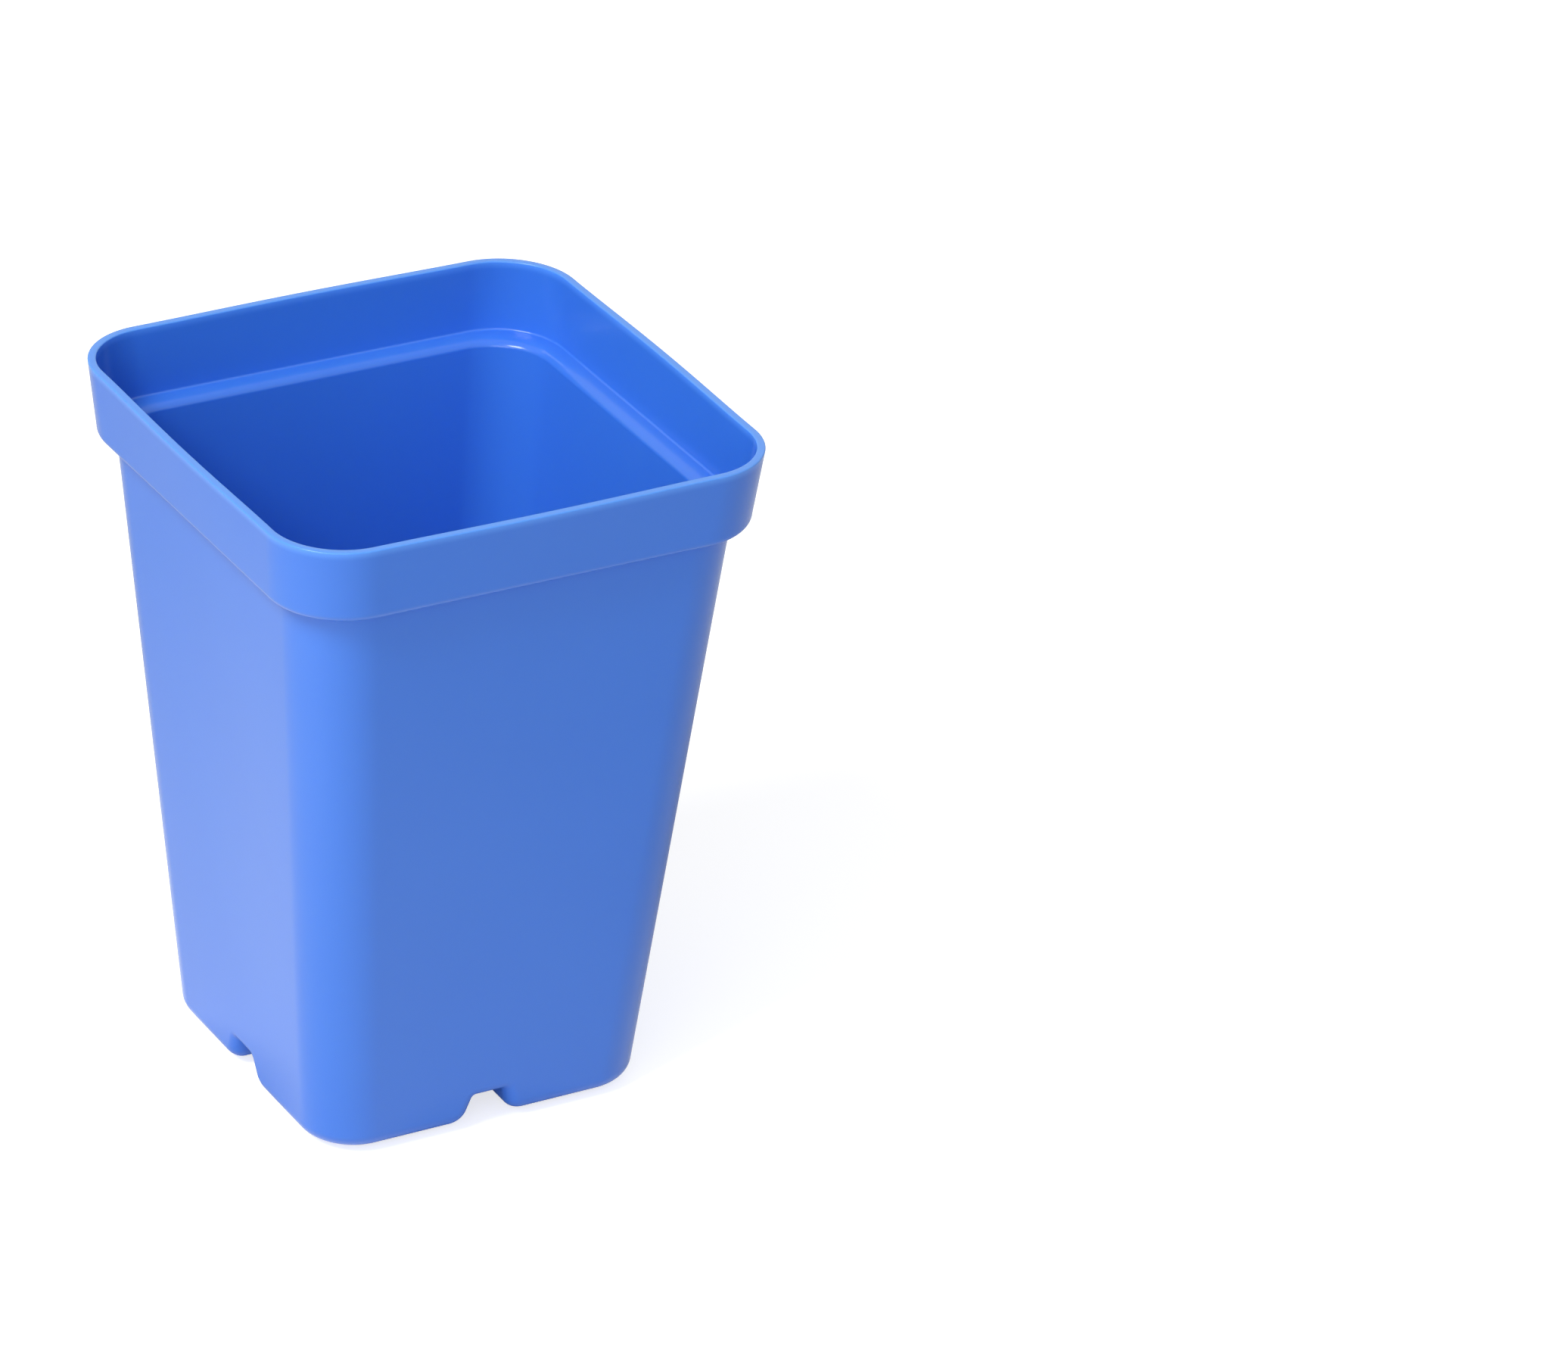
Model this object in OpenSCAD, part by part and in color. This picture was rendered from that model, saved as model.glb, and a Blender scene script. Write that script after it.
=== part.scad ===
// Seed starting pot: one injection-moulded plastic shell.
// A wide collar runs round the rim, the body tapers down to four feet, and a cross channel
// between the feet carries drained water away. Every wall is of even thickness.
// Millimetres. Z points up, the pot stands on four small pips at z = 0, centred on the Z axis.

/* [Overall] */
// Height of the rim above the surface that the pot stands on
pot_h = 85.9; // [70:0.1:120]

/* [Collar] */
// How far the collar's lower edge stands out from the body on each side
collar_out = 2.05; // [1.8:0.05:4]
// How far the rim flares out beyond the collar's lower edge on each side
rim_flare = 0.85; // [0:0.05:2]
// Corner radius of the rim in plan
rim_corner_r = 9.4; // [6:0.1:14]
// How far the middle of each rim side bows outward
rim_crown = 0.3; // [0:0.05:0.8]
// Thickness of the collar wall at the rim
rim_t = 1; // [0.7:0.05:1.4]
// Thickness of the collar wall where it meets the ledge
collar_t = 0.8; // [0.6:0.05:1.4]
// Rounding of the two edges of the rim
rim_edge_r = 0.15; // [0.05:0.01:0.3]
// Corner radius of the collar's lower edge in plan
collar_corner_r = 9.3; // [6:0.1:14]
// Height of the collar, from the step under it to the rim
collar_h = 9.5; // [6:0.1:16]
// Rounding of the collar's lower outer edge
collar_edge_r = 1.1; // [0.4:0.05:1.4]
// Fillet between the step under the collar and the body
step_fillet_r = 0.3; // [0.1:0.05:0.4]

/* [Ledge inside the collar] */
// Thickness of the ledge above the step
ledge_t = 0.8; // [0.6:0.05:1.4]
// Fillet between the collar wall and the ledge
ledge_fillet_r = 0.2; // [0.1:0.05:0.7]
// Rounding of the ledge where it turns down into the body
ledge_lip_r = 1.05; // [0.4:0.05:1.1]

/* [Body] */
// Width across the flats of the body just under the collar
body_top_w = 57.1; // [50:0.1:66]
// Corner radius of the body just under the collar
body_top_r = 8.2; // [5:0.1:12]
// Width across the flats of the body at the bottom of the feet
body_base_w = 43.1; // [38:0.1:50]
// Corner radius of the body at the bottom of the feet
body_base_r = 6.8; // [4:0.1:10]
// Thickness of the floor, and of the body walls at their foot
wall = 0.85; // [0.6:0.05:1.2]
// Thickness of the body walls just under the ledge
wall_top = 1; // [0.6:0.05:1.2]
// Rounding of the bottom edge all round the body
base_edge_r = 2; // [1.5:0.05:2.6]
// Height of the plain band that blends the channel ends into the body
band_h = 1.4; // [1:0.1:4]

/* [Feet and cross channel] */
// Depth of the cross channel between the feet
channel_h = 3.75; // [3:0.05:6]
// Width of the channel at its ceiling
channel_top_w = 4; // [3.2:0.1:5]
// Width of the channel at its mouth, before the feet are rounded
channel_mouth_w = 6; // [5.2:0.1:7]
// Fillet between the channel walls and its ceiling
channel_fillet_r = 0.35; // [0.1:0.05:0.8]
// Rounding of the body's edge over the channel ends
channel_end_r = 1.4; // [1.25:0.05:2]
// How much more the feet are rounded along the channel than round the body
foot_edge_extra = 0.4; // [0.05:0.05:0.8]
// Plan radius of each foot's flat where the two channels cross
foot_corner_r = 0.6; // [0.3:0.05:2]

/* [Drain holes] */
// Diameter of every drain hole
drain_d = 2.2; // [1:0.1:3]
// Outer hole of a foot: distance of its centre from the two body faces
foot_drain_out = 6.4; // [4.2:0.1:7]
// Inner hole of a foot: distance of its centre from the two channel mouths
foot_drain_in = 4.85; // [3.6:0.05:6]
// Outer hole of a channel: distance of its centre from the body face
channel_drain_out = 3.4; // [3.4:0.1:6]
// Inner hole of a channel: distance of its centre from the middle of the pot
channel_drain_in = 6.8; // [4:0.1:9]

/* [Pips under the feet] */
// Length of a pip, along the corner of its foot
pip_l = 2.6; // [1.6:0.1:4]
// Width of a pip
pip_w = 0.9; // [0.5:0.05:1.4]
// Height of a pip below its foot
pip_h = 0.7; // [0.3:0.05:1.2]
// Distance of a pip from the two body faces
pip_inset = 4.3; // [4:0.05:5]

/* [Gate mark in the crossing] */
// Diameter of the gate stub where it leaves the channel ceiling
gate_base_d = 2.6; // [1.6:0.1:3.2]
// Diameter of the stub's tip
gate_tip_d = 1.3; // [0.9:0.05:1.6]
// Length of the stub
gate_h = 1.9; // [1:0.1:2.8]
// Diameter of the hollow in the broken tip
gate_hollow_d = 0.7; // [0.3:0.05:0.8]
// Depth of the hollow
gate_hollow_h = 0.5; // [0.2:0.05:0.9]

/* [Hidden] */

pot_colour = [0.27, 0.48, 0.86];
round_fn = 48;
eps = 0.01;
// How far a drain hole's cutter reaches past both faces of the floor
overcut = 0.5;
// How deep the pips and the gate stub are rooted in the floor
root = wall / 2;

// Levels above the flat bottom of the feet, which is pip_h above the standing plane
top_z = pot_h - pip_h;
step_z = top_z - collar_h;
ledge_z = step_z + ledge_t;
// Level of the plain rings just above the channel ends
band_z = channel_h + base_edge_r + band_h;

// Segments in each kind of curve
corner_segs = 6;
edge_segs = 4;
foot_edge_segs = 5;
fillet_segs = 2;
crossing_segs = 8;

// Half width and corner radius of the body's outside at level z
function body_hw(z) = (body_base_w + (body_top_w - body_base_w) * z / step_z) / 2;
function body_r(z) = body_base_r + (body_top_r - body_base_r) * z / step_z;

// Cross section of the channel from its middle to the flat of a foot.
// Each entry is [across, up, normal across, normal up], and the normal points into the wall.
foot_edge_r = base_edge_r + foot_edge_extra;
draft = atan((channel_mouth_w - channel_top_w) / 2 / channel_h);
miter = (1 - sin(draft)) / cos(draft);
ceiling_arc = [channel_top_w / 2 - channel_fillet_r * miter, channel_h - channel_fillet_r];
foot_arc = [channel_mouth_w / 2 + foot_edge_r * miter, foot_edge_r];
section = concat(
    [[0, channel_h, 0, 1]],
    [for (i = [0 : fillet_segs])
        let (a = (90 - draft) * i / fillet_segs)
        [ceiling_arc.x + channel_fillet_r * sin(a), ceiling_arc.y + channel_fillet_r * cos(a),
         sin(a), cos(a)]],
    [for (i = [0 : foot_edge_segs])
        let (a = (90 - draft) * (1 - i / foot_edge_segs))
        [foot_arc.x - foot_edge_r * sin(a), foot_arc.y - foot_edge_r * cos(a),
         sin(a), cos(a)]]
);

// Columns of one eighth of a ring: the section, the side up to the corner, half the corner arc
flat_col = len(section) - 1;
arc_col = flat_col + 1;
last_col = arc_col + corner_segs;
ring_n = 8 * last_col;

// Distance from the pot's middle to the centre of each foot's inner corner
foot_pivot = foot_arc.x + foot_corner_r;

function turn(p, q) =
    q == 0 ? p :
    q == 1 ? [-p.y, p.x, p.z] :
    q == 2 ? [-p.x, -p.y, p.z] : [p.y, -p.x, p.z];
function across_corner(p) = [-p.y, -p.x, p.z];

// A full ring from the eighth that runs from the middle of the -Y side to the +X corner
function full_ring(eighth) = [
    for (q = [0 : 3])
        for (i = [0 : 2 * last_col - 1])
            turn(i <= last_col ? eighth[i] : across_corner(eighth[2 * last_col - i]), q)
];

// Half of a corner arc: centre at c on both axes, radius r, level z
function corner_arc(c, r, z) = [
    for (i = [0 : corner_segs])
        let (a = 45 * i / corner_segs)
        [c + r * sin(a), -c - r * cos(a), z]
];

// Plain ring at level z: half width hw, corner radius r, sides bowed outward by crown
function plain_ring(z, hw, r, crown = 0) = full_ring(concat(
    [for (i = [0 : arc_col - 1])
        let (s = i / arc_col)
        [(hw - r) * s, -hw - crown * pow(1 - s * s, 2), z]],
    corner_arc(hw - r, r, z)
));

// Ring on the rounded bottom edge. The edge runs over the feet and the channel ends alike.
// angle 0 lies on the underside, 90 on the side wall, and depth is measured into the wall.
// The rounding is channel_end_r at the channel's ceiling and base_edge_r at the feet.
function edge_rise(angle, depth, edge_r) = edge_r - (edge_r - depth) * cos(angle);
function edge_inset(angle, depth, edge_r) = edge_r - (edge_r - depth) * sin(angle);
function edge_ring(angle, depth) =
    let (foot_rise = edge_rise(angle, depth, base_edge_r),
         foot_inset = edge_inset(angle, depth, base_edge_r))
    full_ring(concat(
        [for (s = section)
            let (edge_r = base_edge_r + (channel_end_r - base_edge_r) * s[1] / channel_h,
                 rise = edge_rise(angle, depth, edge_r),
                 z = s[1] + s[3] * rise)
            [s[0] + s[2] * rise, edge_inset(angle, depth, edge_r) - body_hw(z), z]],
        corner_arc(body_hw(foot_rise) - body_r(foot_rise), body_r(foot_rise) - foot_inset,
            foot_rise)
    ));

// Rings of a quarter round in section. Widths and corner radii grow together.
// start and sweep are angles from straight out towards up.
function round_rings(centre_hw, centre_z, r, start, sweep, segs, ref_hw, ref_r, crown = 0) = [
    for (i = [0 : segs])
        let (a = start + sweep * i / segs, hw = centre_hw + r * cos(a))
        plain_ring(centre_z + r * sin(a), hw, ref_r + hw - ref_hw, crown)
];

step_hw = body_top_w / 2;
collar_hw = step_hw + collar_out;
rim_hw = collar_hw + rim_flare;
rim_in_hw = rim_hw - rim_t;
collar_in_hw = collar_hw - collar_t;
collar_in_r = collar_corner_r - collar_t;
lip_z = ledge_z - ledge_lip_r;
ledge_hw = body_hw(lip_z) - wall_top;
ledge_r = body_r(lip_z) - wall_top;
// The ledge's two curves share its width
lip_r = min(ledge_lip_r, collar_in_hw - ledge_hw - ledge_fillet_r);

// All rings in order, from the underside up the outside, over the rim and down the inside
rings = concat(
    [for (i = [0 : edge_segs]) edge_ring(90 * i / edge_segs, 0)],
    [plain_ring(band_z, body_hw(band_z), body_r(band_z))],
    round_rings(step_hw + step_fillet_r, step_z - step_fillet_r, step_fillet_r,
        180, -90, fillet_segs, step_hw, body_top_r),
    round_rings(collar_hw - collar_edge_r, step_z + collar_edge_r, collar_edge_r,
        -90, 90, edge_segs, collar_hw, collar_corner_r),
    round_rings(rim_hw - rim_edge_r, top_z - rim_edge_r, rim_edge_r,
        0, 90, fillet_segs, rim_hw, rim_corner_r, rim_crown),
    round_rings(rim_in_hw + rim_edge_r, top_z - rim_edge_r, rim_edge_r,
        90, 90, fillet_segs, rim_hw, rim_corner_r, rim_crown),
    round_rings(collar_in_hw - ledge_fillet_r, ledge_z + ledge_fillet_r, ledge_fillet_r,
        0, -90, fillet_segs, collar_in_hw, collar_in_r),
    round_rings(ledge_hw + lip_r, ledge_z - lip_r, lip_r,
        90, 90, edge_segs, ledge_hw, ledge_r),
    [plain_ring(band_z, body_hw(band_z) - wall, body_r(band_z) - wall)],
    [for (i = [edge_segs : -1 : 0]) edge_ring(90 * i / edge_segs, wall)]
);
ring_last = len(rings) - 1;

// Points of each foot's inner corner, where its two channel walls meet round foot_pivot.
// depth 0 gives the underside and depth = wall gives the floor inside.
function crossing_points(depth) = [
    for (q = [0 : 3])
        for (i = [1 : flat_col])
            for (a = [0 : crossing_segs])
                let (s = section[i],
                     r = foot_pivot - s[0] - s[2] * depth,
                     turned = 90 * a / crossing_segs)
                turn([foot_pivot - r * cos(turned), r * sin(turned) - foot_pivot,
                      s[1] + s[3] * depth], q)
];
crossing_n = len(crossing_points(0));

points = concat(
    [for (ring = rings) each ring],
    crossing_points(0),
    [[0, 0, channel_h]],
    crossing_points(wall),
    [[0, 0, channel_h + wall]]
);

// Index of a ring's point, of a crossing point and of the middle of a floor
function ring_at(k, i) = k * ring_n + (i + ring_n) % ring_n;
function crossing_at(side, q, i, a) =
    len(rings) * ring_n + side * (crossing_n + 1)
    + (q * flat_col + i - 1) * (crossing_segs + 1) + a;
function middle_at(side) = len(rings) * ring_n + side * (crossing_n + 1) + crossing_n;

function quad(a, b, c, d) = [[a, b, c], [a, c, d]];
// The same face seen from its other side, with its first point kept first
function flipped(face) = concat([face[0]], [for (i = [len(face) - 1 : -1 : 1]) face[i]]);

// Faces that close one floor: side 0 is the underside and side 1 the inside
function floor_faces(side) =
    let (k = side == 0 ? 0 : ring_last)
    [for (q = [0 : 3])
        let (start = 2 * last_col * q, end = 2 * last_col * (q + 1))
        each concat(
            [concat(
                [middle_at(side), ring_at(k, start), ring_at(k, start + 1)],
                [for (a = [0 : crossing_segs]) crossing_at(side, q, 1, a)],
                [ring_at(k, end - 1), ring_at(k, end)]
            )],
            [for (i = [1 : flat_col - 1])
                each concat(
                    quad(ring_at(k, start + i), ring_at(k, start + i + 1),
                        crossing_at(side, q, i + 1, 0), crossing_at(side, q, i, 0)),
                    [for (a = [0 : crossing_segs - 1])
                        each quad(crossing_at(side, q, i, a), crossing_at(side, q, i + 1, a),
                            crossing_at(side, q, i + 1, a + 1), crossing_at(side, q, i, a + 1))],
                    quad(crossing_at(side, q, i, crossing_segs),
                        crossing_at(side, q, i + 1, crossing_segs),
                        ring_at(k, end - i - 1), ring_at(k, end - i))
                )],
            [concat(
                [for (j = [start + flat_col : end - flat_col]) ring_at(k, j)],
                [for (a = [crossing_segs : -1 : 0]) crossing_at(side, q, flat_col, a)]
            )]
        )];

wall_faces = [
    for (k = [0 : ring_last - 1])
        for (i = [0 : ring_n - 1])
            each quad(ring_at(k, i), ring_at(k + 1, i), ring_at(k + 1, i + 1), ring_at(k, i + 1))
];

// The moulded shell, its feet flat at z = 0
module shell() {
    polyhedron(
        points = points,
        faces = concat(
            wall_faces,
            floor_faces(0),
            [for (face = floor_faces(1)) flipped(face)]
        ),
        convexity = 8
    );
}

// Places the same thing in each quarter, or along each channel
module each_quarter() {
    for (q = [0 : 3])
        rotate([0, 0, 90 * q])
            children();
}

module drain(x, y, floor_z) {
    translate([x, y, floor_z - overcut])
        cylinder(h = wall + 2 * overcut, d = drain_d, $fn = round_fn);
}

module drain_holes() {
    foot_out = body_base_w / 2 - foot_drain_out;
    foot_in = channel_mouth_w / 2 + foot_drain_in;
    each_quarter() {
        drain(foot_out, foot_out, 0);
        drain(foot_in, foot_in, 0);
        drain(channel_drain_in, 0, channel_h);
        drain(body_base_w / 2 - channel_drain_out, 0, channel_h);
    }
}

// Small round-ended bar under a foot, across the foot's diagonal
module pip() {
    at = body_base_w / 2 - pip_inset;
    straight = pip_l - pip_w;
    translate([at, at, -pip_h])
        rotate([0, 0, 135])
            union() {
                for (end = [-1, 1])
                    translate([end * straight / 2, 0, 0])
                        cylinder(h = pip_h + root, d = pip_w, $fn = round_fn);
                translate([-straight / 2, -pip_w / 2, 0])
                    cube([straight, pip_w, pip_h + root]);
            }
}

// Stub of the moulding gate, hanging from the ceiling where the channels cross
module gate() {
    difference() {
        union() {
            translate([0, 0, channel_h - gate_h])
                cylinder(h = gate_h, d1 = gate_tip_d, d2 = gate_base_d, $fn = round_fn);
            translate([0, 0, channel_h - eps])
                cylinder(h = root, d = gate_base_d, $fn = round_fn);
        }
        translate([0, 0, channel_h - gate_h - eps])
            cylinder(h = gate_hollow_h + eps, d = gate_hollow_d, $fn = round_fn);
    }
}

module pot() {
    color(pot_colour)
        translate([0, 0, pip_h])
            difference() {
                union() {
                    shell();
                    each_quarter() pip();
                    gate();
                }
                drain_holes();
            }
}

pot();
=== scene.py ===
"""Seed starting pot: one injection-moulded plastic shell, dressed for a plain studio picture.

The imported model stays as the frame. One piece with finer curves stands for it: the same loft of
rings as the construction, with rounded drain holes, softened pips and the snapped-off gate stub.
"""

import math

import bmesh
import bpy
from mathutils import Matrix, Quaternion, Vector


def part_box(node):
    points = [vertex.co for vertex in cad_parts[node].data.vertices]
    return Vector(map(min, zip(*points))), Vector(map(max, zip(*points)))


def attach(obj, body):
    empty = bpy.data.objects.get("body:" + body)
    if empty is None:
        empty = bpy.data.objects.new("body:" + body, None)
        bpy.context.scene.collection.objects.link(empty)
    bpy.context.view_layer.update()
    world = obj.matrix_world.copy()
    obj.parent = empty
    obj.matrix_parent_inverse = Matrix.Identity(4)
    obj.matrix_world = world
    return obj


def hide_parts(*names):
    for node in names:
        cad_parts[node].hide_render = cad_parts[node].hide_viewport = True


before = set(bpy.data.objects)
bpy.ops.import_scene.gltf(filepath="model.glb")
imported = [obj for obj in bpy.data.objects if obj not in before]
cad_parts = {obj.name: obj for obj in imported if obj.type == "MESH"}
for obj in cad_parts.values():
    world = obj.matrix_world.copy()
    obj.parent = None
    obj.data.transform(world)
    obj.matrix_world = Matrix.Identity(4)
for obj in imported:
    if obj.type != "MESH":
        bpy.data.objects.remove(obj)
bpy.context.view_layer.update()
node_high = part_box("pot")[1]

# Blender works in metres, and the sizes below are in millimetres
MM = 0.001

# Overall, from the frame
POT_H = node_high.z / MM
RIM_CROWN = 0.3
RIM_HW = node_high.x / MM - RIM_CROWN

# Collar
RIM_FLARE = 0.85
RIM_CORNER_R = 9.4
RIM_T = 1.0
RIM_EDGE_R = 0.15
COLLAR_T = 0.6
COLLAR_HW = RIM_HW - RIM_FLARE
COLLAR_CORNER_R = 9.3
COLLAR_H = 9.5
COLLAR_EDGE_R = 1.1
STEP_FILLET_R = 0.3

# Ledge inside the collar, and how far it drops as it rounds off into the wall
LEDGE_T = 0.8
LEDGE_FILLET_R = 0.28
LEDGE_DROP = 1.1

# Body
BODY_TOP_HW = 57.1 / 2
BODY_TOP_R = 8.2
BODY_BASE_HW = 43.1 / 2
BODY_BASE_R = 6.8
WALL = 0.85
WALL_TOP = 1.0
BASE_EDGE_R = 2.0
BAND_ABOVE_CHANNEL = 3.4
# How far the middle of each body side is drawn in, as the walls shrink on cooling
BODY_HOLLOW = 0.15

# Feet and cross channel
CHANNEL_H = 3.75
CHANNEL_TOP_W = 4.0
CHANNEL_MOUTH_W = 6.0
CHANNEL_FILLET_R = 0.35
CHANNEL_END_R = 1.4
FOOT_EDGE_R = BASE_EDGE_R + 0.4
FOOT_CORNER_R = 0.6
# Where the flat of its ceiling and the flat of a foot begin, and the turning point at the crossing
DRAFT = math.atan((CHANNEL_MOUTH_W - CHANNEL_TOP_W) / 2 / CHANNEL_H)
MITER = (1 - math.sin(DRAFT)) / math.cos(DRAFT)
CEILING_FLAT = CHANNEL_TOP_W / 2 - CHANNEL_FILLET_R * MITER
FOOT_FLAT = CHANNEL_MOUTH_W / 2 + FOOT_EDGE_R * MITER
FOOT_PIVOT = FOOT_FLAT + FOOT_CORNER_R

# Drain holes
DRAIN_R = 1.1
DRAIN_EDGE_R = 0.15
FOOT_DRAIN_OUT = BODY_BASE_HW - 6.4
FOOT_DRAIN_IN = CHANNEL_MOUTH_W / 2 + 4.85
CHANNEL_DRAIN_OUT = BODY_BASE_HW - 3.4
CHANNEL_DRAIN_IN = 6.8

# Pips under the feet
PIP_L = 2.6
PIP_W = 0.9
PIP_H = 0.7
PIP_AT = BODY_BASE_HW - 4.3
PIP_TOP_R = 0.22
PIP_FILLET_R = 0.12

# Gate stub in the crossing
GATE_BASE_R = 1.18
GATE_FILLET_R = 0.35
GATE_TIP_R = 0.65
GATE_H = 1.9
GATE_HOLLOW_R = 0.36
GATE_HOLLOW_H = 0.5
GATE_LIP = 0.05
# Its broken end: how far it runs up and down, in two coarse waves and five fine ones
GATE_RAGGED = 0.09
COARSE_WAVES = 2
COARSE_SHARE = 0.6
COARSE_SHIFT = 0.7
FINE_WAVES = 5
FINE_SHARE = 0.4

# Segments in each kind of curve
CORNER_SEGS = 16
SIDE_SEGS = 8
EDGE_SEGS = 10
FOOT_EDGE_SEGS = 12
FILLET_SEGS = 5
CROSSING_SEGS = 16
BODY_SEGS = 14
ROUND_SEGS = 56

# Levels above the flat bottom of the feet, which is PIP_H above the floor
TOP_Z = POT_H - PIP_H
STEP_Z = TOP_Z - COLLAR_H
LEDGE_Z = STEP_Z + LEDGE_T
LIP_Z = LEDGE_Z - LEDGE_DROP
BAND_Z = CHANNEL_H + BAND_ABOVE_CHANNEL

# Plastic: from cloud to cloud of pigment, from mark to mark of the tool, and the painted glow of
# the rim
PIGMENT_CLOUD = 20
POLISH_PITCH = 0.8
POLISH_DEPTH = 0.01
RIM_GLOW = 1.1

# Paper under the pot, and the light that it gives by itself to be seen as white
PAPER_HW = 4000
PAPER_LIFT = 0.7

# Painted pool of light on the paper, which only the pot's mirroring walls see
POOL_AT = Vector((-85, -30, 0))
POOL_NEAR = 10
POOL_FAR = 150
POOL_BRIGHT = 1.0
POOL_DIM = 0.1

# Painted shadow under the pot, in the painted pool: from the pot's axis, where it covers the paper
# and where it leaves it clear
COVERED_R = 22
CLEAR_R = 28

# The room's light on the pot, against 1 where the camera or a mirroring wall looks at the room
ROOM_LIGHT = 0.34

# Lamps stand this far from the pot, in metres
LAMP_DISTANCE = 1.2

# Points closer than this to a level, in metres, lie on it
LEVEL_TOLERANCE = 1e-6

# The photograph's camera
CAMERA_AZIMUTH = -31.03
CAMERA_ELEVATION = 27.97
CAMERA_ROLL = 3.08
CAMERA_DISTANCE = 977.7
CAMERA_AIM = (38.97, -18.92, 50.61)
CAMERA_LENS = 190.5
CAMERA_SENSOR = 36.0


def body_hw(z):
    """Half width of the body's outside at level z."""
    return BODY_BASE_HW + (BODY_TOP_HW - BODY_BASE_HW) * z / STEP_Z


def body_r(z):
    """Corner radius of the body's outside at level z."""
    return BODY_BASE_R + (BODY_TOP_R - BODY_BASE_R) * z / STEP_Z


def body_hollow(z):
    """How far a side is drawn in at level z: nothing at the step and the band, most between."""
    share = (z - BAND_Z) / (STEP_Z - BAND_Z)
    return BODY_HOLLOW * math.sin(math.pi * share)


def channel_section():
    """The channel from its middle to the flat of a foot.

    Each point is (across, up, normal across, normal up), and its normal points into the wall."""
    turn = math.pi / 2 - DRAFT
    points = [(0, CHANNEL_H, 0, 1)]
    for i in range(FILLET_SEGS + 1):
        a = turn * i / FILLET_SEGS
        across = CEILING_FLAT + CHANNEL_FILLET_R * math.sin(a)
        up = CHANNEL_H - CHANNEL_FILLET_R + CHANNEL_FILLET_R * math.cos(a)
        points.append((across, up, math.sin(a), math.cos(a)))
    for i in range(FOOT_EDGE_SEGS + 1):
        a = turn * (1 - i / FOOT_EDGE_SEGS)
        across = FOOT_FLAT - FOOT_EDGE_R * math.sin(a)
        up = FOOT_EDGE_R - FOOT_EDGE_R * math.cos(a)
        points.append((across, up, math.sin(a), math.cos(a)))
    return points


SECTION = channel_section()
FLAT_COL = len(SECTION) - 1
ARC_COL = FLAT_COL + SIDE_SEGS
LAST_COL = ARC_COL + CORNER_SEGS
QUARTER = 2 * LAST_COL


def turned(p, quarters):
    """A point turned about the pot's axis by quarter turns."""
    x, y, z = p
    for _ in range(quarters):
        x, y = -y, x
    return (x, y, z)


def full_ring(eighth):
    """A whole ring from the eighth between the middle of the -Y side and the +X corner."""
    mirrored = [(-y, -x, z) for x, y, z in eighth[-2:0:-1]]
    return [turned(p, q) for q in range(4) for p in eighth + mirrored]


def corner_arc(centre, r, z):
    """Half of a corner: its centre lies at the same distance on both axes."""
    arc = []
    for i in range(CORNER_SEGS + 1):
        a = math.pi / 4 * i / CORNER_SEGS
        arc.append((centre + r * math.sin(a), -centre - r * math.cos(a), z))
    return arc


def plain_ring(z, hw, r, crown=0.0):
    """Rounded square at level z, its sides bowed outward by crown."""
    side = []
    for i in range(ARC_COL):
        s = i / ARC_COL
        side.append(((hw - r) * s, -hw - crown * (1 - s * s) ** 2, z))
    return full_ring(side + corner_arc(hw - r, r, z))


def edge_ring(angle, depth):
    """Ring on the rounded bottom edge, which runs over the feet and the channel ends alike.

    Angle 0 lies on the underside and a quarter turn on the side wall. Depth goes into the wall."""

    def rise(edge_r):
        return edge_r - (edge_r - depth) * math.cos(angle)

    def inset(edge_r):
        return edge_r - (edge_r - depth) * math.sin(angle)

    eighth = []
    for across, up, n_across, n_up in SECTION:
        edge_r = BASE_EDGE_R + (CHANNEL_END_R - BASE_EDGE_R) * up / CHANNEL_H
        z = up + n_up * rise(edge_r)
        eighth.append((across + n_across * rise(edge_r), inset(edge_r) - body_hw(z), z))
    z = rise(BASE_EDGE_R)
    centre = body_hw(z) - body_r(z)
    foot_end = eighth[-1]
    for i in range(1, SIDE_SEGS):
        x = foot_end[0] + (centre - foot_end[0]) * i / SIDE_SEGS
        eighth.append((x, foot_end[1], z))
    return full_ring(eighth + corner_arc(centre, body_r(z) - inset(BASE_EDGE_R), z))


def round_rings(centre_hw, centre_z, r, start, sweep, segs, ref_hw, ref_r, crown=0.0):
    """Rings of a quarter round. Start and sweep are degrees from straight out towards up."""
    rings = []
    for i in range(segs + 1):
        a = math.radians(start + sweep * i / segs)
        hw = centre_hw + r * math.cos(a)
        rings.append(plain_ring(centre_z + r * math.sin(a), hw, ref_r + hw - ref_hw, crown))
    return rings


def ledge_rings(wall_hw, wall_r, crease_hw, crease_r):
    """The ledge, which rounds off over its whole width into the wall below it."""
    rings = []
    for i in range(1, EDGE_SEGS + 1):
        a = math.pi / 2 * i / EDGE_SEGS
        share = 1 - math.sin(a)
        hw = wall_hw + (crease_hw - wall_hw) * share
        z = LEDGE_Z - LEDGE_DROP * (1 - math.cos(a))
        rings.append(plain_ring(z, hw, wall_r + (crease_r - wall_r) * share))
    return rings


def wall_at(z):
    """Thickness of the body's wall at level z, from the band up to the ledge's lip."""
    return WALL + (WALL_TOP - WALL) * (z - BAND_Z) / (LIP_Z - BAND_Z)


def body_rings(levels, inside):
    """Rings up or down the tapered walls, on their outside or their inside."""
    rings = []
    for z in levels:
        depth = wall_at(z) if inside else 0
        rings.append(plain_ring(z, body_hw(z) - depth, body_r(z) - depth, -body_hollow(z)))
    return rings


def between(low, high, segs):
    """Levels between two, both left out."""
    return [low + (high - low) * i / segs for i in range(1, segs)]


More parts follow.
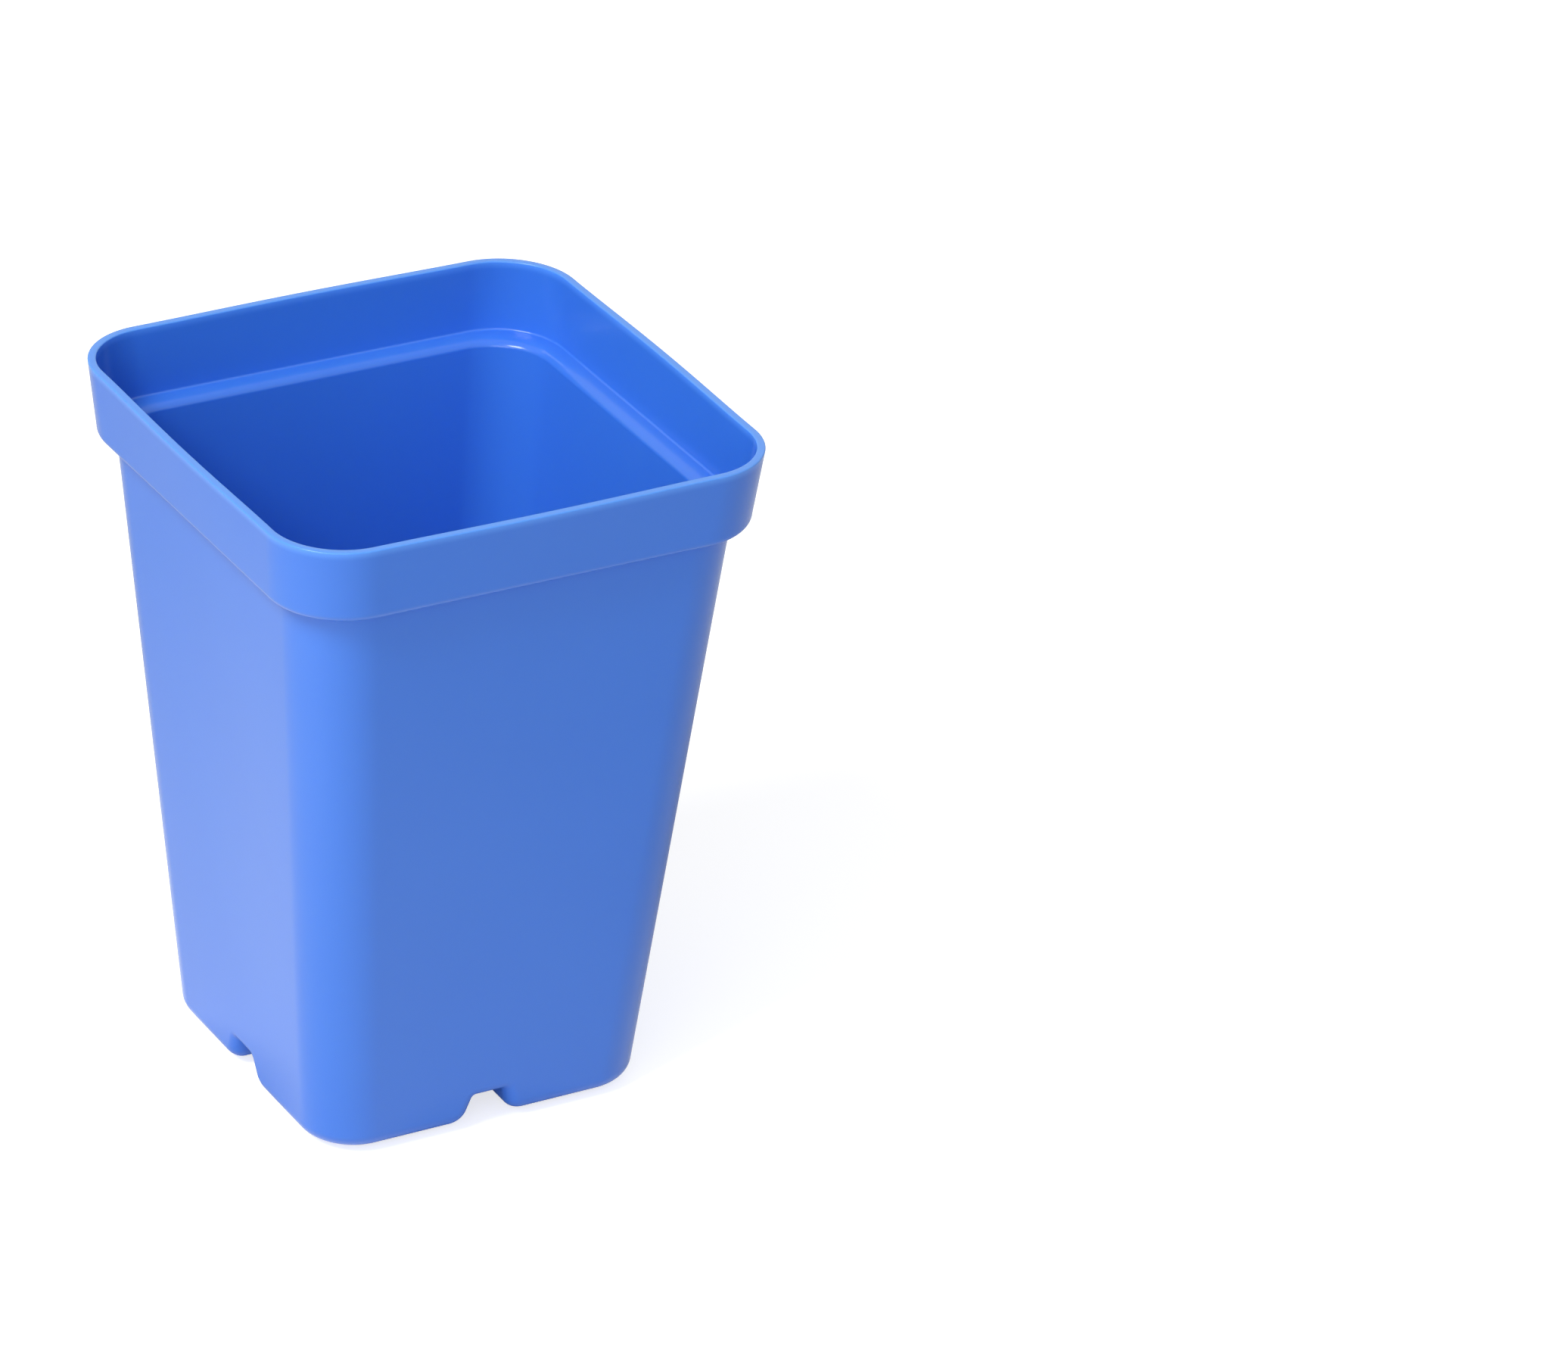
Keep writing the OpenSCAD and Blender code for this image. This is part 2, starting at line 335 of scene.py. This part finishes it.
def shell_rings():
    """All rings in order: up the outside, over the rim and down the inside."""
    quarter = math.pi / 2
    rim_in_hw = RIM_HW - RIM_T
    collar_in_hw = COLLAR_HW - COLLAR_T
    collar_in_r = COLLAR_CORNER_R - COLLAR_T
    rings = [edge_ring(quarter * i / EDGE_SEGS, 0) for i in range(EDGE_SEGS + 1)]
    rings += body_rings([BAND_Z, *between(BAND_Z, STEP_Z - STEP_FILLET_R, BODY_SEGS)], False)
    rings += round_rings(BODY_TOP_HW + STEP_FILLET_R, STEP_Z - STEP_FILLET_R, STEP_FILLET_R,
                         180, -90, FILLET_SEGS, BODY_TOP_HW, BODY_TOP_R)
    rings += round_rings(COLLAR_HW - COLLAR_EDGE_R, STEP_Z + COLLAR_EDGE_R, COLLAR_EDGE_R,
                         -90, 90, EDGE_SEGS, COLLAR_HW, COLLAR_CORNER_R)
    rings += round_rings(RIM_HW - RIM_EDGE_R, TOP_Z - RIM_EDGE_R, RIM_EDGE_R,
                         0, 90, FILLET_SEGS, RIM_HW, RIM_CORNER_R, RIM_CROWN)
    rings += round_rings(rim_in_hw + RIM_EDGE_R, TOP_Z - RIM_EDGE_R, RIM_EDGE_R,
                         90, 90, FILLET_SEGS, RIM_HW, RIM_CORNER_R, RIM_CROWN)
    rings += round_rings(collar_in_hw - LEDGE_FILLET_R, LEDGE_Z + LEDGE_FILLET_R, LEDGE_FILLET_R,
                         0, -90, FILLET_SEGS, collar_in_hw, collar_in_r)
    rings += ledge_rings(body_hw(LIP_Z) - WALL_TOP, body_r(LIP_Z) - WALL_TOP,
                         collar_in_hw - LEDGE_FILLET_R, collar_in_r - LEDGE_FILLET_R)
    rings += body_rings([*between(LIP_Z, BAND_Z, BODY_SEGS), BAND_Z], True)
    rings += [edge_ring(quarter * i / EDGE_SEGS, WALL) for i in range(EDGE_SEGS, -1, -1)]
    return rings


def add_line(mesh, points):
    """New vertices for points given in millimetres above the feet."""
    return [mesh.verts.new(Vector((x, y, z + PIP_H)) * MM) for x, y, z in points]


def bridge(mesh, one, other, closed=True):
    """A strip of faces between two lines with as many vertices."""
    steps = len(one) if closed else len(one) - 1
    for i in range(steps):
        j = (i + 1) % len(one)
        mesh.faces.new((one[i], one[j], other[j], other[i]))


def add_rings(mesh, rings):
    """Joins closed rings of points into one skin, and returns its vertices ring by ring."""
    lines = [add_line(mesh, ring) for ring in rings]
    for one, other in zip(lines, lines[1:]):
        bridge(mesh, one, other)
    return lines


def crossing_arc(column, depth, quarter):
    """Where two channel walls meet round a foot's inner corner, for one column of the section."""
    across, up, n_across, n_up = SECTION[column]
    r = FOOT_PIVOT - across - n_across * depth
    arc = []
    for i in range(CROSSING_SEGS + 1):
        a = math.pi / 2 * i / CROSSING_SEGS
        p = (FOOT_PIVOT - r * math.cos(a), r * math.sin(a) - FOOT_PIVOT, up + n_up * depth)
        arc.append(turned(p, quarter))
    return arc


def channel_walls(mesh, ring, depth):
    """The channel walls of all four feet, from the bottom edge's ring round the crossing."""
    for quarter in range(4):
        start = QUARTER * quarter
        end = start + QUARTER
        lines = []
        for column in range(1, FLAT_COL + 1):
            arc = add_line(mesh, crossing_arc(column, depth, quarter))
            lines.append([ring[start + column], *arc, ring[end - column]])
        for one, other in zip(lines, lines[1:]):
            bridge(mesh, one, other, closed=False)


def circle(r, z, x=0.0, y=0.0):
    """Points of a level circle."""
    points = []
    for i in range(ROUND_SEGS):
        a = 2 * math.pi * i / ROUND_SEGS
        points.append((x + r * math.cos(a), y + r * math.sin(a), z))
    return points


def drain_hole(mesh, x, y, floor_z):
    """The wall of one drain hole, rounded where it meets both faces of the floor."""
    turns = [math.pi / 2 * i / FILLET_SEGS for i in range(FILLET_SEGS + 1)]
    low = [(DRAIN_R + DRAIN_EDGE_R * (1 - math.sin(a)), DRAIN_EDGE_R * (1 - math.cos(a)))
           for a in turns]
    high = [(r, WALL - up) for r, up in reversed(low)]
    add_rings(mesh, [circle(r, floor_z + up, x, y) for r, up in low + high])


def drain_holes(mesh):
    """Two holes through each foot and two through each arm of the channel."""
    for quarter in range(4):
        for at in (FOOT_DRAIN_OUT, FOOT_DRAIN_IN):
            x, y, _ = turned((at, at, 0), quarter)
            drain_hole(mesh, x, y, 0)
        for at in (CHANNEL_DRAIN_OUT, CHANNEL_DRAIN_IN):
            x, y, _ = turned((at, 0, 0), quarter)
            drain_hole(mesh, x, y, CHANNEL_H)


def pip_outline(r, z, quarter):
    """Round-ended bar across the diagonal of a foot, r from its middle line."""
    half = (PIP_L - PIP_W) / 2
    points = []
    for i in range(ROUND_SEGS):
        a = 2 * math.pi * (i + 0.5) / ROUND_SEGS
        along = math.copysign(half, math.cos(a)) + r * math.cos(a)
        across = r * math.sin(a)
        x = PIP_AT + (across - along) * math.sqrt(0.5)
        y = PIP_AT + (across + along) * math.sqrt(0.5)
        points.append(turned((x, y, z), quarter))
    return points


def pips(mesh):
    """The small bars that the pot stands on, softened at the foot and at the end."""
    turns = [math.pi / 2 * i / FILLET_SEGS for i in range(FILLET_SEGS + 1)]
    side_r = PIP_W / 2
    profile = [(side_r + PIP_FILLET_R * (1 - math.sin(a)), -PIP_FILLET_R * (1 - math.cos(a)))
               for a in turns]
    profile += [(side_r - PIP_TOP_R * (1 - math.cos(a)), PIP_TOP_R * (1 - math.sin(a)) - PIP_H)
                for a in turns]
    for quarter in range(4):
        lines = add_rings(mesh, [pip_outline(r, z, quarter) for r, z in profile])
        mesh.faces.new(lines[-1])


def gate_stub(mesh):
    """What is left of the gate: a tapered stem with a hollow, ragged end where it snapped off."""
    turns = [math.pi / 2 * i / FILLET_SEGS for i in range(FILLET_SEGS + 1)]
    # Radius and height above the stem's end, from the ceiling down to the end and into the hollow
    profile = [(GATE_BASE_R + GATE_FILLET_R * (1 - math.sin(a)),
                GATE_H - GATE_FILLET_R * (1 - math.cos(a))) for a in turns]
    stem = GATE_H - GATE_FILLET_R
    for i in range(1, EDGE_SEGS + 1):
        share = i / EDGE_SEGS
        profile.append((GATE_BASE_R + (GATE_TIP_R - GATE_BASE_R) * share, stem * (1 - share)))
    profile.append((GATE_TIP_R - GATE_LIP, -GATE_LIP))
    profile.append((GATE_HOLLOW_R + GATE_LIP, -GATE_LIP))
    profile += [(GATE_HOLLOW_R * math.cos(a), GATE_HOLLOW_H * math.sin(a)) for a in turns[:-1]]
    rings = []
    for r, up in profile:
        ring = []
        for i, (x, y, z) in enumerate(circle(r, CHANNEL_H - GATE_H + up)):
            a = 2 * math.pi * i / ROUND_SEGS
            ragged = (COARSE_SHARE * math.sin(COARSE_WAVES * a + COARSE_SHIFT)
                      + FINE_SHARE * math.sin(FINE_WAVES * a))
            ring.append((x, y, z + GATE_RAGGED * ragged * max(0.0, 1 - up / GATE_HOLLOW_H)))
        rings.append(ring)
    lines = add_rings(mesh, rings)
    mesh.faces.new(lines[-1])


def fill_flats(mesh):
    """Closes the level faces of the floor, inside and out, round the holes and the pips."""
    for level in (0, WALL, CHANNEL_H, CHANNEL_H + WALL):
        z = (level + PIP_H) * MM
        edges = [e for e in mesh.edges if e.is_boundary
                 and all(abs(v.co.z - z) < LEVEL_TOLERANCE for v in e.verts)]
        bmesh.ops.triangle_fill(mesh, use_beauty=True, edges=edges)


def build_pot():
    """The whole moulded pot as one closed skin."""
    mesh = bmesh.new()
    lines = add_rings(mesh, shell_rings())
    channel_walls(mesh, lines[0], 0)
    channel_walls(mesh, lines[-1], WALL)
    drain_holes(mesh)
    pips(mesh)
    gate_stub(mesh)
    fill_flats(mesh)
    bmesh.ops.recalc_face_normals(mesh, faces=mesh.faces)
    for face in mesh.faces:
        face.smooth = True
    data = bpy.data.meshes.new("pot_shell")
    mesh.to_mesh(data)
    mesh.free()
    pot = bpy.data.objects.new("pot_shell", data)
    bpy.context.collection.objects.link(pot)
    # Flat faces keep their own normals, so that shading turns only in the rounded edges
    flats = pot.modifiers.new("flats stay flat", "WEIGHTED_NORMAL")
    flats.mode = "FACE_AREA"
    flats.weight = 100
    return pot


def linear(hex_colour):
    """A colour written as sRGB hex, in the linear values that Blender works with."""
    values = []
    for i in (1, 3, 5):
        c = int(hex_colour[i:i + 2], 16) / 255
        values.append(c / 12.92 if c <= 0.04045 else ((c + 0.055) / 1.055) ** 2.4)
    return (*values, 1.0)


def new_material(name):
    """An empty node material and its node tree."""
    material = bpy.data.materials.new(name)
    material.use_nodes = True
    material.node_tree.nodes.clear()
    return material, material.node_tree


def add_node(tree, kind, inputs=None, **settings):
    """Adds a node. Inputs are keyed by socket name or number, and hold a value or a socket."""
    node = tree.nodes.new(kind)
    for name, value in settings.items():
        setattr(node, name, value)
    for key, value in (inputs or {}).items():
        if isinstance(value, bpy.types.NodeSocket):
            tree.links.new(value, node.inputs[key])
        else:
            node.inputs[key].default_value = value
    return node


def moulded_polypropylene():
    """Polypropylene coloured blue right through, injection moulded in a polished tool.

    It has a soft gloss. Light seeps a millimetre or two into it, and the thin rim's glow is also
    painted into the colour, lighter towards the top. The pigment is a touch uneven where it flowed,
    and the polished tool left a faint orange peel."""
    material, tree = new_material("moulded_polypropylene_blue")
    place = add_node(tree, "ShaderNodeTexCoord").outputs["Object"]
    # Flow of the pigment, in clouds too faint to show an edge
    flow = add_node(tree, "ShaderNodeTexNoise", {
        "Vector": place, "Scale": 1 / (PIGMENT_CLOUD * MM), "Detail": 2.0})
    colour = add_node(tree, "ShaderNodeMix", {
        "Factor": flow.outputs["Fac"], 6: linear("#3A79DF"), 7: linear("#3E7DE3")},
        data_type="RGBA")
    # Painted glow: the colour turns lighter within about a millimetre of the top, for light that
    # gathers in the thin rim
    height = add_node(tree, "ShaderNodeSeparateXYZ", {"Vector": place}).outputs["Z"]
    glow = add_node(tree, "ShaderNodeMapRange", {
        "Value": height, "From Min": (POT_H - RIM_GLOW) * MM, "From Max": POT_H * MM},
        interpolation_type="SMOOTHSTEP")
    lit = add_node(tree, "ShaderNodeMix", {
        "Factor": glow.outputs["Result"], 6: colour.outputs[2], 7: linear("#5699F7")},
        data_type="RGBA")
    # Polishing marks of the tool, drawn coarser than real ones so that they show
    polish = add_node(tree, "ShaderNodeTexNoise", {
        "Vector": place, "Scale": 1 / (POLISH_PITCH * MM), "Detail": 3.0})
    gloss = add_node(tree, "ShaderNodeMapRange", {
        "Value": polish.outputs["Fac"], "To Min": 0.17, "To Max": 0.23})
    peel = add_node(tree, "ShaderNodeBump", {
        "Height": polish.outputs["Fac"], "Strength": 0.05, "Distance": POLISH_DEPTH * MM})
    shader = add_node(tree, "ShaderNodeBsdfPrincipled", {
        "Base Color": lit.outputs[2],
        "Roughness": gloss.outputs["Result"],
        "Normal": peel.outputs["Normal"],
        "IOR": 1.49,
        "Subsurface Weight": 0.2,
        "Subsurface Radius": (0.3, 0.8, 2.0),
        "Subsurface Scale": MM})
    add_node(tree, "ShaderNodeOutputMaterial", {"Surface": shader.outputs["BSDF"]})
    return material


def white_sweep():
    """Matt white paper under the pot.

    The camera sees it lifted to white, and it keeps the pot's soft shadow. For the pot's glossy
    walls it also gives off a painted pool of light, brightest at the front left where the lamps'
    pool would lie, with a painted shadow under the pot."""
    material, tree = new_material("matt_white_paper")
    rays = add_node(tree, "ShaderNodeLightPath")
    paper = add_node(tree, "ShaderNodeBsdfDiffuse", {"Color": linear("#E2E2E2")})
    place = add_node(tree, "ShaderNodeTexCoord").outputs["Object"]
    # Painted pool of light: brightest near POOL_AT, dimmer further off
    reach = add_node(tree, "ShaderNodeVectorMath", {
        0: place, 1: POOL_AT * MM}, operation="DISTANCE")
    pool = add_node(tree, "ShaderNodeMapRange", {
        "Value": reach.outputs["Value"], "From Min": POOL_NEAR * MM, "From Max": POOL_FAR * MM,
        "To Min": POOL_BRIGHT, "To Max": POOL_DIM})
    # Painted shadow: the painted pool fades out under the pot, as the pot keeps the lamps off the
    # paper that it stands on
    from_axis = add_node(tree, "ShaderNodeVectorMath", {0: place}, operation="LENGTH")
    outside_painted_shadow = add_node(tree, "ShaderNodeMapRange", {
        "Value": from_axis.outputs["Value"], "From Min": COVERED_R * MM, "From Max": CLEAR_R * MM})
    painted_pool_light = add_node(tree, "ShaderNodeMath", {
        0: pool.outputs["Result"], 1: outside_painted_shadow.outputs["Result"]}, operation="MULTIPLY")
    # Painted reflection: only glossy rays see the painted pool
    mirrored = add_node(tree, "ShaderNodeMath", {
        0: rays.outputs["Is Glossy Ray"], 1: painted_pool_light.outputs[0]}, operation="MULTIPLY")
    seen = add_node(tree, "ShaderNodeMath", {
        0: rays.outputs["Is Camera Ray"], 1: rays.outputs["Is Transmission Ray"]},
        operation="MAXIMUM")
    strength = add_node(tree, "ShaderNodeMath", {
        0: seen.outputs[0], 1: PAPER_LIFT, 2: mirrored.outputs[0]}, operation="MULTIPLY_ADD")
    lift = add_node(tree, "ShaderNodeEmission", {
        "Color": linear("#FFFFFF"), "Strength": strength.outputs[0]})
    both = add_node(tree, "ShaderNodeAddShader", {
        0: paper.outputs["BSDF"], 1: lift.outputs["Emission"]})
    add_node(tree, "ShaderNodeOutputMaterial", {"Surface": both.outputs["Shader"]})
    return material


def floor():
    """A wide level sheet of paper at the pot's feet."""
    half = PAPER_HW * MM
    data = bpy.data.meshes.new("paper_floor")
    corners = [(-half, -half, 0), (half, -half, 0), (half, half, 0), (-half, half, 0)]
    data.from_pydata(corners, [], [(0, 1, 2, 3)])
    sheet = bpy.data.objects.new("paper_floor", data)
    bpy.context.collection.objects.link(sheet)
    sheet.data.materials.append(white_sweep())


def direction(azimuth, elevation):
    """From the pot towards a place round it. Azimuth 0 is the -Y side, and it grows towards +X."""
    a = math.radians(azimuth)
    e = math.radians(elevation)
    return Vector((math.sin(a) * math.cos(e), -math.cos(a) * math.cos(e), math.sin(e)))


def softbox(name, azimuth, elevation, size, power):
    """A square soft light aimed at the pot. Its size is in metres and its power in watts."""
    data = bpy.data.lights.new(name, "AREA")
    data.shape = "SQUARE"
    data.size = size
    data.energy = power
    lamp = bpy.data.objects.new(name, data)
    back = direction(azimuth, elevation)
    lamp.location = Vector((0, 0, POT_H * MM / 2)) + back * LAMP_DISTANCE
    lamp.rotation_mode = "QUATERNION"
    lamp.rotation_quaternion = (-back).to_track_quat("-Z", "Y")
    lamp.visible_camera = False
    bpy.context.collection.objects.link(lamp)


def studio_light():
    """A soft light high at the left, a wider and fainter one at the front left, and a pale room."""
    softbox("key_softbox", azimuth=-74, elevation=50, size=0.4, power=10)
    softbox("fill_softbox", azimuth=-40, elevation=25, size=0.8, power=4.2)
    world = bpy.data.worlds.new("pale_room")
    world.use_nodes = True
    tree = world.node_tree
    tree.nodes.clear()
    rays = add_node(tree, "ShaderNodeLightPath")
    seen = add_node(tree, "ShaderNodeMath", {
        0: rays.outputs["Is Camera Ray"], 1: rays.outputs["Is Transmission Ray"]},
        operation="MAXIMUM")
    met = add_node(tree, "ShaderNodeMath", {
        0: seen.outputs[0], 1: rays.outputs["Is Glossy Ray"]}, operation="MAXIMUM")
    room = add_node(tree, "ShaderNodeMapRange", {
        "Value": met.outputs[0], "To Min": ROOM_LIGHT, "To Max": 1.0})
    light = add_node(tree, "ShaderNodeBackground", {
        "Color": linear("#FFFFFF"), "Strength": room.outputs["Result"]})
    add_node(tree, "ShaderNodeOutputWorld", {"Surface": light.outputs["Background"]})
    bpy.context.scene.world = world


def camera():
    """The photograph's view, from far away and a little rolled."""
    data = bpy.data.cameras.new("photo_camera")
    data.lens = CAMERA_LENS
    data.sensor_width = CAMERA_SENSOR
    data.clip_start = 0.05
    data.clip_end = 20
    view = bpy.data.objects.new("photo_camera", data)
    back = direction(CAMERA_AZIMUTH, CAMERA_ELEVATION)
    view.location = (Vector(CAMERA_AIM) + back * CAMERA_DISTANCE) * MM
    view.rotation_mode = "QUATERNION"
    roll = Quaternion((0, 0, 1), math.radians(CAMERA_ROLL))
    view.rotation_quaternion = (-back).to_track_quat("-Z", "Y") @ roll
    bpy.context.collection.objects.link(view)
    bpy.context.scene.camera = view


pot = build_pot()
pot.data.materials.append(moulded_polypropylene())
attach(pot, "root")
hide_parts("pot")
floor()
studio_light()
camera()
bpy.context.scene.view_settings.view_transform = "Standard"
